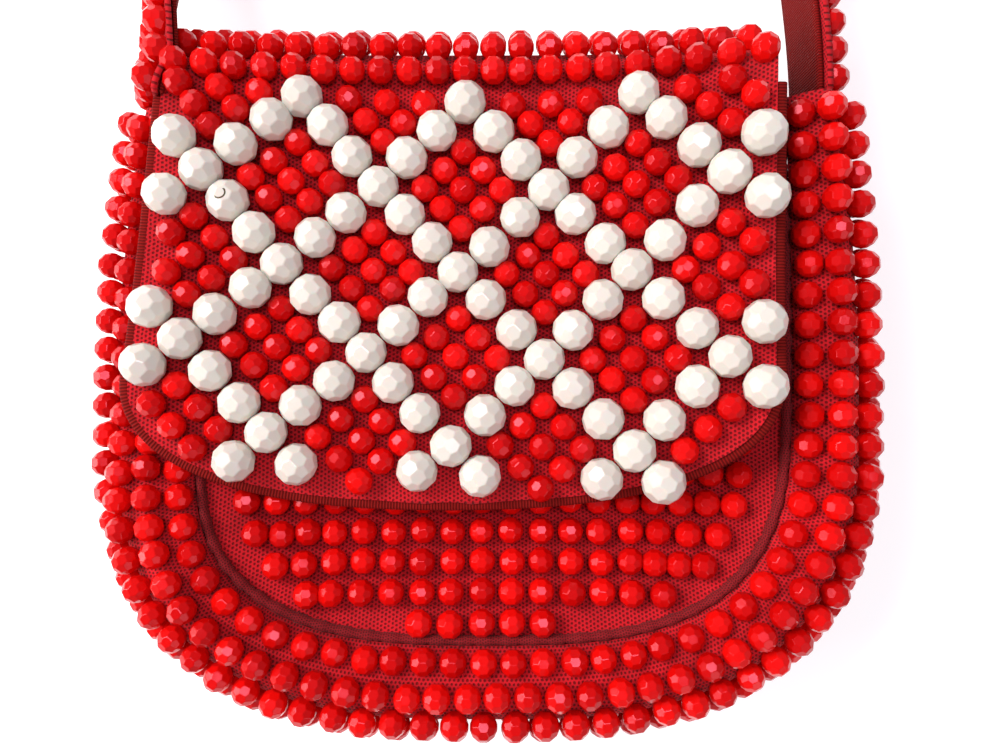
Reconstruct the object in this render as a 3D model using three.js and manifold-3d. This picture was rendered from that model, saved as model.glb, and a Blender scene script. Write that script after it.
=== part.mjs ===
// Beaded shoulder bag, lying on its back, in millimetres, +Z up, strap towards +Y.
// Inside this file y = 0 is the line where the bag's sides turn into its round bottom.
import * as THREE from 'three';
import { mergeVertices } from 'three/addons/utils/BufferGeometryUtils.js';
import Module from 'manifold-3d';

const wasm = await Module();
wasm.setup();

// Driving dimensions of beads and fabrics
const redBead = 8;
const whiteBead = 12;
const knit = 1.6;
const ribbon = 1.2;
const thread = 1.5;
const pieceGap = 0.4;
const rowPitch = 9.2;

// Driving dimensions of the body
const seamHalfWidth = 89;
const bottomDepth = 73;
const sideLength = 88;
const cornerPower = 3;
const mouthTaper = 2;
const rimReach = 25;
const rimHeight = 48;
const rimRows = 6;
const firstRowShare = 0.09;
const rowShareStep = 0.15;
const frontSink = 19;
const seamRadius = 1.4;
const bindingWidth = 2.6;

// Driving dimensions of the flap
const flapRightOver = -8;
const flapLeftOver = 15.5;
const flapHalfWidth = seamHalfWidth + (flapRightOver + flapLeftOver) / 2;
const flapShift = (flapRightOver - flapLeftOver) / 2;
const flapSkew = 5;
const flapBottom = -32;
const flapCornerHeight = 38;
const flapCornerPower = 2.4;
const flapTopTaper = 4;
const flapHeight = 30;
const flapRightLift = 20;
const flapLeftLift = 11;
const rightLiftPower = 2.5;
const leftLiftPower = 2;
const flapEdgeStandoff = 7;
const standoffLength = 80;
const standoffFall = 0.5;
const foldOver = 8;
const foldCentreY = sideLength + foldOver;

// Driving dimensions of the bead lattice
const latticeStep = 8.8;
const latticeRise = 8.52;
const latticeTopInset = 8.6;
const latticeLean = -2.2;
const latticeSpread = 1.7;
const latticeTilt = -2.3;
const latticeFan = -1.5;
const latticeBow = 3.2;
const latticeLeftDraw = 4.8;
const latticeOffset = 3.2;
const latticeHalfColumns = 10;
const latticeLastRow = 13;
const diamondPitch = 8.45;
const latticeCentreX = flapShift + latticeOffset;
const latticeCentreY = foldCentreY - latticeTopInset - latticeRise * latticeLastRow / 2;

// Driving dimensions of the strap
const strapLength = 700;
const strapOutset = 10;
const strapHalfSpan = seamHalfWidth + strapOutset;
const strapShift = -2;
const strapRows = 3;
const strapRowPitch = 9;
const strapRootHeight = 31;
const strapDescent = 95;
const liningInset = 2;

// How the flap presses the left side of the rim down and out, and the mouth narrows it
const leftPress = 0.38;
const leftBulge = 0.16;
const rightSqueeze = 0.09;
const mouthSqueeze = 0.25;
const pressFadeLength = 55;

const colours = { red: 0xd81410, darkRed: 0x7a1114, white: 0xefe9e0 };
const roughness = { beads: 0.5, cloth: 0.9, whiteBeads: 0.25 };
const beadRadius = redBead / 2;
const backTop = redBead;

// Shape of the side strip from the front seam to the back seam.
// out is a share of rimReach and up a share of the rise from the back to rimHeight.
const rimSection = [
  { out: 0.00, up: 0.75 },
  { out: 0.25, up: 0.95 },
  { out: 0.58, up: 1.00 },
  { out: 0.89, up: 0.89 },
  { out: 1.00, up: 0.66 },
  { out: 0.98, up: 0.44 },
  { out: 0.86, up: 0.20 },
  { out: 0.70, up: 0.00 },
];

// Centres of the red diamonds in lattice units, and the lowest and highest of their three rows
const diamonds = [
  { row: 0, columns: [-9, -3, 3, 9], from: -1, to: 0 },
  { row: 3, columns: [-6, 0, 6], from: -1, to: 1 },
  { row: 6, columns: [-9, -3, 3, 9], from: -1, to: 1 },
  { row: 9, columns: [-6, 0, 6], from: -1, to: 1 },
  { row: 12, columns: [-3, 3], from: -1, to: 1 },
  { row: 12, columns: [-9, 9], from: 0, to: 1 },
];

// Shared shape helpers
const clamp01 = (value) => Math.min(1, Math.max(0, value));
const smooth = (value) => clamp01(value) ** 2 * (3 - 2 * clamp01(value));

function signedVolume(positions, faces) {
  const corners = faces.map((face) => face.map((index) => positions[index]));
  return corners.reduce((sum, [a, b, c]) => sum + a.dot(b.clone().cross(c)), 0);
}

function bufferGeometry(positions, faces) {
  const outward = signedVolume(positions, faces) > 0;
  const turned = outward ? faces : faces.map(([a, b, c]) => [a, c, b]);
  const geometry = new THREE.BufferGeometry().setFromPoints(positions);
  geometry.setIndex(turned.flat());
  return geometry;
}

function capFaces(outline) {
  const contour = outline.map(([a, b]) => new THREE.Vector2(a, b));
  const faces = THREE.ShapeUtils.triangulateShape(contour, []);
  const area = ([a, b, c]) => THREE.ShapeUtils.area([contour[a], contour[b], contour[c]]);
  const covered = faces.reduce((sum, face) => sum + area(face), 0);
  const turned = covered * THREE.ShapeUtils.area(contour) < 0;
  return turned ? faces.map(([a, b, c]) => [a, c, b]) : faces;
}

// A closed solid through rings of points, with the triangles that close its first and last ring
function ringSolid(rings, firstCap, lastCap) {
  const count = rings[0].length;
  const faces = firstCap.map(([a, b, c]) => [a, c, b]);
  for (let ring = 0; ring < rings.length - 1; ring += 1) {
    for (let index = 0; index < count; index += 1) {
      const near = ring * count + index;
      const beside = ring * count + (index + 1) % count;
      faces.push([near, beside, beside + count], [near, beside + count, near + count]);
    }
  }
  const lastStart = (rings.length - 1) * count;
  lastCap.forEach((face) => faces.push(face.map((index) => index + lastStart)));
  return bufferGeometry(rings.flat(), faces);
}

// A section of [out, up] pairs carried along stations that have a place and an outward direction
function sweep(stations, section) {
  const outlines = stations.map(section);
  const rings = stations.map(({ x, y, outX, outY }, index) => outlines[index].map(
    ([out, up]) => new THREE.Vector3(x + out * outX, y + out * outY, up),
  ));
  return ringSolid(rings, capFaces(outlines[0]), capFaces(outlines[outlines.length - 1]));
}

// Triangles that close the end of a sheet, column by column
function stripFaces(columnCount) {
  const last = 2 * columnCount - 1;
  return Array.from({ length: columnCount - 1 }, (unused, index) => [
    [index, index + 1, last - index - 1],
    [index, last - index - 1, last - index],
  ]).flat();
}

// A sheet between an upper and a lower face over stations and columns from -1 to 1
function sheet(stations, columns, upper, lower) {
  const rings = stations.map((station) => {
    const top = columns.map((column) => upper(station, column));
    const bottom = columns.map((column) => lower(station, column)).reverse();
    return [...top, ...bottom];
  });
  const cap = stripFaces(columns.length);
  return ringSolid(rings, cap, cap);
}

function toManifold(geometry) {
  const bare = geometry.clone();
  bare.deleteAttribute('normal');
  bare.deleteAttribute('uv');
  const merged = mergeVertices(bare);
  const vertProperties = new Float32Array(merged.attributes.position.array);
  const triVerts = new Uint32Array(merged.index.array);
  return new wasm.Manifold(new wasm.Mesh({ numProp: 3, vertProperties, triVerts }));
}

function fuse(geometries) {
  const joined = geometries.map(toManifold).reduce((sum, solid) => sum.add(solid));
  const { vertProperties, triVerts } = joined.getMesh();
  const geometry = new THREE.BufferGeometry();
  geometry.setAttribute('position', new THREE.BufferAttribute(vertProperties, 3));
  geometry.setIndex(new THREE.BufferAttribute(triVerts, 1));
  return geometry;
}

// A bar of constant round section through a few points
function bar(points, radius, sides) {
  const shape = new THREE.Shape();
  for (let side = 0; side < sides; side += 1) {
    const angle = 2 * Math.PI * side / sides;
    const place = [radius * Math.cos(angle), radius * Math.sin(angle)];
    if (side === 0) shape.moveTo(...place);
    else shape.lineTo(...place);
  }
  const extrudePath = new THREE.CatmullRomCurve3(points);
  const steps = points.length - 1;
  return new THREE.ExtrudeGeometry(shape, { steps, extrudePath, bevelEnabled: false });
}

function node(name, geometry, colour, surfaceRoughness) {
  geometry.computeVertexNormals();
  const material = new THREE.MeshStandardMaterial({ color: colour, roughness: surfaceRoughness });
  const mesh = new THREE.Mesh(geometry, material);
  mesh.name = name;
  return mesh;
}

// The line of the front seam, seen from above
function seamHalfWidthAt(y) {
  const taper = mouthTaper * clamp01(y / sideLength) ** 2;
  const fall = clamp01(-y / bottomDepth) ** cornerPower;
  return (seamHalfWidth - taper) * (1 - fall) ** (1 / cornerPower);
}

const seamSidePoints = 5;
const seamBottomPoints = 18;
function seamStations(count) {
  const sidePoints = seamSidePoints;
  const points = [];
  for (let index = 0; index < sidePoints; index += 1) {
    const y = sideLength * (1 - index / sidePoints);
    points.push(new THREE.Vector3(seamHalfWidthAt(y), y, 0));
  }
  for (let index = 0; index <= seamBottomPoints; index += 1) {
    const angle = Math.PI * index / seamBottomPoints;
    const cosine = Math.cos(angle);
    const x = seamHalfWidth * Math.sign(cosine) * Math.abs(cosine) ** (2 / cornerPower);
    points.push(new THREE.Vector3(x, -bottomDepth * Math.sin(angle) ** (2 / cornerPower), 0));
  }
  for (let index = sidePoints - 1; index >= 0; index -= 1) {
    const y = sideLength * (1 - index / sidePoints);
    points.push(new THREE.Vector3(-seamHalfWidthAt(y), y, 0));
  }
  const curve = new THREE.CatmullRomCurve3(points, false, 'centripetal');
  return Array.from({ length: count + 1 }, (unused, index) => {
    const { x, y } = curve.getPointAt(index / count);
    const tangent = curve.getTangentAt(index / count);
    const isEnd = index === 0 || index === count;
    return isEnd ? { x, y, outX: Math.sign(x), outY: 0 } : { x, y, outX: -tangent.y, outY: tangent.x };
  });
}

// How far the flap presses the rim at a place of the seam, from 0 to 1
const pressAt = (x, y) => smooth(-x / seamHalfWidth) * smooth(1 + y / pressFadeLength);
const rimUp = (share, x, y) => (
  backTop + (rimHeight - backTop) * share * (1 - leftPress * pressAt(x, y))
);
const rimOut = (share, x, y) => {
  const squeeze = 1 - mouthSqueeze * clamp01(y / sideLength) ** 2;
  const narrowing = rightSqueeze * smooth(x / seamHalfWidth) * smooth(1 + y / pressFadeLength);
  return rimReach * share * squeeze * (1 + leftBulge * pressAt(x, y) - narrowing);
};

// Side and bottom strip with its rows of beads as ridges
function rimOutline({ x, y }) {
  const points = rimSection.map(({ out, up }) => (
    new THREE.Vector3(rimOut(out, x, y) + pieceGap + seamRadius, rimUp(up, x, y), 0)
  ));
  const curve = new THREE.CatmullRomCurve3(points, false, 'centripetal');
  const frame = (share) => {
    const { x: out, y: up } = curve.getPointAt(share);
    const tangent = curve.getTangentAt(share);
    return { out, up, normalOut: -tangent.y, normalUp: tangent.x, tangent };
  };
  const ridgeHalfAngle = Math.PI / 4;
  const offset = (share, height, along) => {
    const { out, up, normalOut, normalUp, tangent } = frame(share);
    return [out + height * normalOut + along * tangent.x, up + height * normalUp + along * tangent.y];
  };
  const rise = beadRadius * Math.cos(ridgeHalfAngle);
  const halfRidge = beadRadius * Math.sin(ridgeHalfAngle);
  const outer = [offset(0, 0, 0)];
  const inner = [offset(0, -knit, 0)];
  for (let row = 1; row <= rimRows; row += 1) {
    const share = firstRowShare + rowShareStep * (row - 1);
    outer.push(offset(share, rise, -halfRidge), offset(share, rise, halfRidge));
    if (row < rimRows) outer.push(offset(share + rowShareStep / 2, -beadRadius, 0));
    inner.push(offset(share, -beadRadius - knit, 0));
  }
  outer.push(offset(1, 0, 0));
  inner.push(offset(1, -knit, 0));
  return [...outer, ...inner.reverse()];
}

const rimStationCount = 26;
const seam = seamStations(rimStationCount);
const gusset = sweep(seam, rimOutline);

// Ridge that joins the front panel to the side strip
const seamSides = 5;
const frontSeam = sweep(seam, ({ x, y }) => Array.from({ length: seamSides }, (unused, side) => {
  const angle = 2 * Math.PI * side / seamSides;
  const up = rimUp(rimSection[0].up, x, y);
  return [seamRadius * Math.cos(angle), up + seamRadius * Math.sin(angle)];
}));

// Heights of the front panel: it sinks from the seam to its middle
function frontRadius(x, y) {
  const across = Math.abs(x) / (seamHalfWidth - mouthTaper * clamp01(y / sideLength) ** 2);
  const down = clamp01(-y / bottomDepth);
  return (across ** cornerPower + down ** cornerPower) ** (1 / cornerPower);
}

const frontEdgeShare = 0.675;
function frontHeight(x, y) {
  const edge = rimUp(frontEdgeShare, x, y);
  return frontSink + (edge - frontSink) * clamp01(frontRadius(x, y)) ** cornerPower;
}

// Stations across rows of beads: a valley and two shoulders for each row
const ridgeStart = 0.28;
function rowStations(fromY, toY) {
  const count = Math.floor((toY - fromY) / rowPitch);
  const stations = [];
  for (let row = 0; row < count; row += 1) {
    const valley = fromY + row * rowPitch;
    stations.push({ y: valley, ridge: 0 });
    stations.push({ y: valley + rowPitch * ridgeStart, ridge: 1 });
    stations.push({ y: valley + rowPitch * (1 - ridgeStart), ridge: 1 });
  }
  stations.push({ y: fromY + count * rowPitch, ridge: 0 });
  if (toY - stations[stations.length - 1].y > pieceGap) stations.push({ y: toY, ridge: 0 });
  return stations;
}

const frontInset = seamRadius + pieceGap;
const lowestRowShare = 0.985;
const frontBottom = -(bottomDepth - frontInset) * lowestRowShare;
const frontTop = sideLength - bindingWidth - pieceGap;
const frontColumns = [-1, -0.93, -0.55, 0, 0.55, 0.93, 1];
const frontX = (y, column) => {
  const squeezedY = y < 0 ? y * bottomDepth / (bottomDepth - frontInset) : y;
  return column * (seamHalfWidthAt(squeezedY) - frontInset);
};
const isInnerColumn = (column) => Math.abs(column) < 1;
const frontPanel = sheet(
  rowStations(frontBottom, frontTop),
  frontColumns,
  ({ y, ridge }, column) => {
    const x = frontX(y, column);
    const rise = knit + (isInnerColumn(column) ? ridge * (redBead - knit / 2) : 0);
    return new THREE.Vector3(x, y, frontHeight(x, y) + rise);
  },
  ({ y }, column) => {
    const x = frontX(y, column);
    return new THREE.Vector3(x, y, frontHeight(x, y));
  },
);

// Rolled and bound edge of the front panel at the mouth
const bindingSides = 6;
const bindingColumns = [-0.98, -0.7, -0.4, 0, 0.4, 0.7, 0.98];
const mouthBinding = bar(
  bindingColumns.map((column) => {
    const y = sideLength - bindingWidth / 2;
    const x = frontX(y, column);
    return new THREE.Vector3(x, y, frontHeight(x, y) + knit / 2);
  }),
  bindingWidth / 2,
  bindingSides,
);

// Flat back, on whose beads the bag lies; its edge follows the side strip all round
const backInset = knit + pieceGap * 2;
const backEdge = rimSection[rimSection.length - 1].out;
const backOutline = seam.map(({ x, y, outX, outY }) => {
  const reach = rimOut(backEdge, x, y) + pieceGap + seamRadius - backInset;
  return { x: x + reach * outX, y: y + reach * outY };
});
function backEdgeAt(y, side) {
  const inSide = backOutline.filter((point) => Math.sign(point.x) === side || point.x === 0);
  const rising = inSide.sort((first, second) => first.y - second.y);
  const above = Math.max(1, rising.findIndex((point) => point.y >= y));
  const [low, high] = [rising[above - 1], rising[above]];
  const share = clamp01((y - low.y) / (high.y - low.y));
  return low.x + (high.x - low.x) * share;
}
const backBottom = Math.min(...backOutline.map(({ y }) => y)) + pieceGap * 3;
const backPanel = sheet(
  rowStations(backBottom, sideLength - pieceGap),
  [-1, 1],
  ({ y }, column) => new THREE.Vector3(backEdgeAt(y, column), y, backTop + knit),
  ({ y, ridge }, column) => new THREE.Vector3(backEdgeAt(y, column), y, backTop - ridge * redBead),
);

// Flap: its centre line comes from the back, turns over in a round fold and lies on the front
function flapHalfWidthAt(y) {
  const taper = flapTopTaper * clamp01(y / foldCentreY);
  const fall = clamp01((flapBottom + flapCornerHeight - y) / flapCornerHeight) ** flapCornerPower;
  return (flapHalfWidth - taper) * (1 - fall) ** (1 / flapCornerPower);
}

const flapCentreAt = (y) => flapShift + flapSkew * clamp01(y / foldCentreY);

function flapLift(x) {
  const across = Math.abs(x - flapShift) / flapHalfWidth;
  const isRight = x > flapShift;
  return isRight ? flapRightLift * across ** rightLiftPower : flapLeftLift * across ** leftLiftPower;
}

function flapStandoff(x, y) {
  const middle = 1 - standoffFall * Math.abs((x - flapShift) / flapHalfWidth);
  return flapEdgeStandoff * middle * smooth((flapBottom + standoffLength - y) / standoffLength);
}
const flapTopHeight = (x, y) => flapHeight + flapLift(x) + flapStandoff(x, y);

const foldRadius = (flapHeight - backTop) / 2 - knit / 2;
const foldHeight = backTop + knit / 2 + foldRadius;
const foldSteps = 6;
const flapTailY = sideLength + pieceGap;
const flapSpans = 8;
const flapSpanPower = 1.5;
const flapStations = [{ y: flapTailY, z: foldHeight - foldRadius, lift: 0, turn: 0 }];
for (let step = 0; step <= foldSteps; step += 1) {
  const turn = Math.PI * step / foldSteps;
  const y = foldCentreY + foldRadius * Math.sin(turn);
  flapStations.push({ y, z: foldHeight - foldRadius * Math.cos(turn), lift: turn / Math.PI, turn });
}
for (let span = 1; span <= flapSpans; span += 1) {
  const share = span / flapSpans;
  const fall = 1 - (1 - share) ** flapSpanPower;
  const y = foldCentreY + (flapBottom * lowestRowShare - foldCentreY) * fall;
  flapStations.push({ y, z: flapHeight - knit / 2, lift: 1, turn: Math.PI });
}
const flapColumns = [-1, -0.88, -0.7, -0.4, 0, 0.4, 0.7, 0.88, 1];

function flapPoint({ y, z, lift, turn }, column, offset) {
  const sideY = turn < Math.PI ? foldCentreY : y;
  const x = flapCentreAt(sideY) + column * flapHalfWidthAt(sideY);
  const standoff = flapStandoff(x, y);
  const rise = lift * lift * flapLift(x) + (lift === 1 ? standoff : 0);
  return new THREE.Vector3(x, y + offset * Math.sin(turn), z + rise - offset * Math.cos(turn));
}

const flapSheet = sheet(
  flapStations,
  flapColumns,
  (station, column) => flapPoint(station, column, knit / 2),
  (station, column) => flapPoint(station, column, -knit / 2),
);

// Two rows of beads along the fold
const foldRowTurns = [0.745, 0.95].map((share) => share * Math.PI);
const foldRowShare = 0.96;
const foldRowColumns = [-1, -0.6, 0, 0.6, 1];
const foldRowSides = 6;
const foldRowBars = foldRowTurns.map((turn) => {
  const station = {
    y: foldCentreY + foldRadius * Math.sin(turn),
    z: foldHeight - foldRadius * Math.cos(turn),
    lift: turn / Math.PI,
    turn,
  };
  const points = foldRowColumns.map((column) => (
    flapPoint(station, column * foldRowShare, beadRadius)
  ));
  return bar(points, beadRadius, foldRowSides);
});

function flapNormal(x, y) {
  const slopeX = (flapTopHeight(x + knit, y) - flapTopHeight(x - knit, y)) / (2 * knit);
  const slopeY = (flapTopHeight(x, y + knit) - flapTopHeight(x, y - knit)) / (2 * knit);
  return new THREE.Vector3(-slopeX, -slopeY, 1).normalize();
}

// Places of the bead lattice on the flap, in columns and rows counted from its upper middle
function latticePoint(column, row, beadHeight) {
  const across = column / latticeHalfColumns;
  const down = row / (latticeLastRow / 2) - 1;
  const drawn = latticeLeftDraw * clamp01(-across) * clamp01(-down) ** 2;
  const lean = (latticeLean + latticeSpread * across) * down;
  const x = latticeCentreX + latticeStep * column + lean + drawn;
  const level = latticeCentreY - latticeRise * (row - latticeLastRow / 2);
  const y = level + (latticeTilt + latticeFan * down) * across + latticeBow * across ** 2;
  const surface = new THREE.Vector3(x, y, flapTopHeight(x, y));
  return surface.addScaledVector(flapNormal(x, y), beadHeight);
}

// Three bars of three red beads for each diamond between the white lines
const diamondReach = 1.4;
const diamondSides = 5;
const diamondBars = diamonds.flatMap(({ row, columns, from, to }) => columns.flatMap((column) => {
  const unit = diamondPitch / Math.hypot(latticeStep, latticeRise);
  const bars = [];
  for (let line = from; line <= to; line += 1) {
    const points = [-diamondReach, diamondReach].map((place) => latticePoint(
      column + (place + line) * unit,
      row + (place - line) * unit,
      beadRadius - knit / 2,
    ));
    const isInside = points.every(({ x, y }) => (
      Math.abs(x - flapCentreAt(y)) < flapHalfWidthAt(y) - beadRadius && y < foldCentreY - redBead
    ));
    if (isInside) bars.push(bar(points, beadRadius, diamondSides));
  }
  return bars;
}));
const flap = fuse([flapSheet, ...foldRowBars, ...diamondBars]);

// White lattice: every third diagonal both ways carries large beads, joined by their threads
const isWhite = (column, row) => (column + row) % 2 === 0
  && (((column + row) / 2) % 3 === 0 || ((column - row) / 2) % 3 === 0);
const whiteParts = [];
const whiteSides = 10;
const whiteBands = 3;
const threadSides = 3;
const whiteHeight = whiteBead / 2 + pieceGap * 2;
for (let row = 0; row <= latticeLastRow; row += 1) {
  for (let column = -latticeHalfColumns; column <= latticeHalfColumns; column += 1) {
    if (isWhite(column, row)) {
      const place = latticePoint(column, row, whiteHeight);
      const bead = new THREE.SphereGeometry(whiteBead / 2, whiteSides, whiteBands);
      bead.rotateX(Math.PI / 2);
      bead.translate(place.x, place.y, place.z);
      whiteParts.push(bead);
      [-1, 1].forEach((side) => {
        const isInside = Math.abs(column + side) <= latticeHalfColumns && row < latticeLastRow;
        if (isInside && isWhite(column + side, row + 1)) {
          const next = latticePoint(column + side, row + 1, whiteHeight);
          whiteParts.push(bar([place, next], thread / 2, threadSides));
        }
      });
    }
  }
}
const whiteBeads = fuse(whiteParts);

// Ribbon round the free edge of the flap
const flapCornerSpans = 14;
const flapSideSpans = 4;
const flapBindingSpans = 26;
const flapEdgeTop = foldCentreY - redBead;
function flapEdgeStations() {
  const points = [];
  for (let index = 0; index <= flapCornerSpans; index += 1) {
    const angle = Math.PI / 2 * index / flapCornerSpans;
    const bendTop = flapBottom + flapCornerHeight;
    const x = flapHalfWidth * Math.cos(angle) ** (2 / flapCornerPower);
    points.push([x, bendTop - flapCornerHeight * Math.sin(angle) ** (2 / flapCornerPower)]);
  }
  const sides = Array.from({ length: flapSideSpans }, (unused, index) => {
    const y = flapEdgeTop + (flapBottom + flapCornerHeight - flapEdgeTop) * index / flapSideSpans;
    return [flapHalfWidthAt(y), y];
  });
  const right = [...sides, ...points];
  const left = right.slice(0, -1).reverse().map(([x, y]) => [-x, y]);
  const curve = new THREE.CatmullRomCurve3(
    [...right, ...left].map(([x, y]) => new THREE.Vector3(x + flapCentreAt(y), y, 0)),
    false,
    'centripetal',
  );
  return Array.from({ length: flapBindingSpans + 1 }, (unused, index) => {
    const { x, y } = curve.getPointAt(index / flapBindingSpans);
    const tangent = curve.getTangentAt(index / flapBindingSpans);
    return { x, y, outX: -tangent.y, outY: tangent.x };
  });
}
const flapBinding = sweep(flapEdgeStations(), ({ x, y }) => {
  const top = flapTopHeight(x, y);
  const inner = pieceGap + knit / 2;
  return [
    [inner, top - knit],
    [inner + bindingWidth, top - knit - ribbon / 2],
    [inner + bindingWidth, top + ribbon / 2],
    [inner, top + ribbon / 2],
  ];
});

// Strap: from both ends of the side strip down to the floor, standing on its edge, in one loop
const strapWidth = strapRows * strapRowPitch;
const strapSide = (strapLength - Math.PI * strapHalfSpan) / 2;
const strapSpans = 25;
const strapStations = Array.from({ length: strapSpans + 1 }, (unused, index) => {
  const share = index / strapSpans;
  const travel = strapLength * (share - Math.sin(4 * Math.PI * share) / (8 * Math.PI));
  const turn = clamp01((travel - strapSide) / (strapLength - 2 * strapSide)) * Math.PI;
  const fromEnd = Math.min(travel, strapLength - travel);
  const along = Math.min(fromEnd, strapSide);
  return {
    x: strapShift + strapHalfSpan * Math.cos(turn),
    y: sideLength + 2 * pieceGap + along + strapHalfSpan * Math.sin(turn),
    outX: Math.cos(turn),
    outY: Math.sin(turn),
    base: (strapRootHeight - strapWidth / 2) * smooth(1 - fromEnd / strapDescent),
  };
});
const strapBand = sweep(strapStations, ({ base }) => {
  const outer = [[knit, base]];
  for (let row = 0; row < strapRows; row += 1) {
    const low = base + row * strapRowPitch;
    outer.push([knit + redBead, low + strapRowPitch * ridgeStart]);
    outer.push([knit + redBead, low + strapRowPitch * (1 - ridgeStart)]);
    outer.push([knit, low + strapRowPitch]);
  }
  return [[0, base], ...outer, [0, base + strapWidth]];
});
const strapLining = sweep(strapStations, ({ base }) => [
  [-pieceGap - ribbon, base + liningInset],
  [-pieceGap, base + liningInset],
  [-pieceGap, base + strapWidth - liningInset],
  [-pieceGap - ribbon, base + strapWidth - liningInset],
]);

// The assembly, with its origin under the middle of its whole length and width
const bag = new THREE.Group();
bag.add(
  node('back_panel', backPanel, colours.red, roughness.beads),
  node('gusset', gusset, colours.red, roughness.beads),
  node('front_panel', frontPanel, colours.red, roughness.beads),
  node('front_seam', frontSeam, colours.darkRed, roughness.cloth),
  node('mouth_binding', mouthBinding, colours.darkRed, roughness.cloth),
  node('flap', flap, colours.red, roughness.beads),
  node('white_beads', whiteBeads, colours.white, roughness.whiteBeads),
  node('flap_binding', flapBinding, colours.darkRed, roughness.cloth),
  node('strap_band', strapBand, colours.red, roughness.beads),
  node('strap_lining', strapLining, colours.darkRed, roughness.cloth),
);
const extent = new THREE.Box3().setFromObject(bag);
const middle = extent.getCenter(new THREE.Vector3());
bag.position.set(-middle.x, -middle.y, -extent.min.z);

export default bag;
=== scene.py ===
# Beaded shoulder bag, lying on its back, seen from above.
# Lengths are written in millimetres and turned to metres where a mesh is made.
# Inside this file y = 0 is the line where the bag's sides turn into its round bottom.
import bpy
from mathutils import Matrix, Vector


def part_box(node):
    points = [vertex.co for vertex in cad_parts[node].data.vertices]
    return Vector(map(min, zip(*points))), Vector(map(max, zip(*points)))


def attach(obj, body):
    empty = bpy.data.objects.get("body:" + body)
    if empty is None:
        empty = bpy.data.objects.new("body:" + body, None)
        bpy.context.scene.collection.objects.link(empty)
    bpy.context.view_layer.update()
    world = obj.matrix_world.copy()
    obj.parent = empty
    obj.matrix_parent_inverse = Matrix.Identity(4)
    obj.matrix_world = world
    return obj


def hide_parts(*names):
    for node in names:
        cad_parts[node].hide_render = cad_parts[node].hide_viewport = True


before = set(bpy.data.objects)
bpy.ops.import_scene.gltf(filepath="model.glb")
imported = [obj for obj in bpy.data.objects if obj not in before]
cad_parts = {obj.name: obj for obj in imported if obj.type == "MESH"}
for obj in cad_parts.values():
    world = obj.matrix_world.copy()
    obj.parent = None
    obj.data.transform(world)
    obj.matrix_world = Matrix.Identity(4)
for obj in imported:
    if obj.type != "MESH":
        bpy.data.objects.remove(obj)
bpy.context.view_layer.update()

import math

import bmesh
import bpy
import numpy as np
from mathutils import Vector

MM = 0.001
SEED = 7
rng = np.random.default_rng(SEED)

# Sizes of beads and fabrics
RED_BEAD = 8.0
WHITE_BEAD = 12.0
KNIT = 1.6
RIBBON = 1.2
GAP = 0.4
SEAM_RADIUS = 1.4
BEAD_RADIUS = RED_BEAD / 2
CLOTH = KNIT * 0.6
FLAP_CLOTH = KNIT * 0.7

# Sizes of the body, the same as those of the solids
SEAM_HALF_WIDTH = 89.0
BOTTOM_DEPTH = 73.0
SIDE_LENGTH = 88.0
CORNER_POWER = 3.0
MOUTH_TAPER = 2.0
RIM_REACH = 25.0
RIM_HEIGHT = 48.0
RIM_ROWS = 6
FIRST_ROW_SHARE = 0.09
ROW_SHARE_STEP = 0.15
FRONT_SINK = 19.0
FRONT_EDGE_SHARE = 0.675
LEFT_PRESS = 0.38
LEFT_BULGE = 0.16
RIGHT_SQUEEZE = 0.09
MOUTH_SQUEEZE = 0.25
PRESS_FADE = 55.0
BINDING_WIDTH = 2.6
BACK_TOP = RED_BEAD

# Points that shape the seam line
SIDE_POINTS = 5
BOTTOM_POINTS = 19

# Sizes of the flap
FLAP_RIGHT_OVER = -8.0
FLAP_LEFT_OVER = 15.5
FLAP_HALF_WIDTH = SEAM_HALF_WIDTH + (FLAP_RIGHT_OVER + FLAP_LEFT_OVER) / 2
FLAP_SHIFT = (FLAP_RIGHT_OVER - FLAP_LEFT_OVER) / 2
FLAP_SKEW = 5.0
FLAP_BOTTOM = -32.0
FLAP_CORNER = 38.0
FLAP_POWER = 2.4
FLAP_TAPER = 4.0
FLAP_HEIGHT = 30.0
FLAP_RIGHT_LIFT = 20.0
FLAP_LEFT_LIFT = 11.0
RIGHT_LIFT_POWER = 2.5
LEFT_LIFT_POWER = 2
FLAP_STANDOFF = 7.0
STANDOFF_LENGTH = 80.0
STANDOFF_FALL = 0.5
FOLD_OVER = 8.0
FOLD_Y = SIDE_LENGTH + FOLD_OVER
FOLD_LIFT_POWER = 4
FOLD_RADIUS = (FLAP_HEIGHT - BACK_TOP) / 2 - KNIT / 2
FOLD_HEIGHT = BACK_TOP + KNIT / 2 + FOLD_RADIUS

# The flap's edge ribbon in section: outward and up from the cloth's edge
FLAP_RIBBON_SECTION = [
    (-0.8, -1.3), (1.9, -1.6), (2.6, -0.9), (2.6, -0.1), (1.9, 0.4), (0.2, 0.5), (-0.8, -0.1),
]
EDGE_POINTS = 12
CORNER_POINTS = 31

# The binding of the mouth and the ridge along the seam
MOUTH_RIBBON_RADIUS = 1.5
RIDGE_WOBBLES = [(0.16, 0.9), (0.1, 2.3)]
RIDGE_TWIST = 0.12
RIDGE_TWIST_RATE = 3.1
RIDGE_RISE = 1.3

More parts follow.
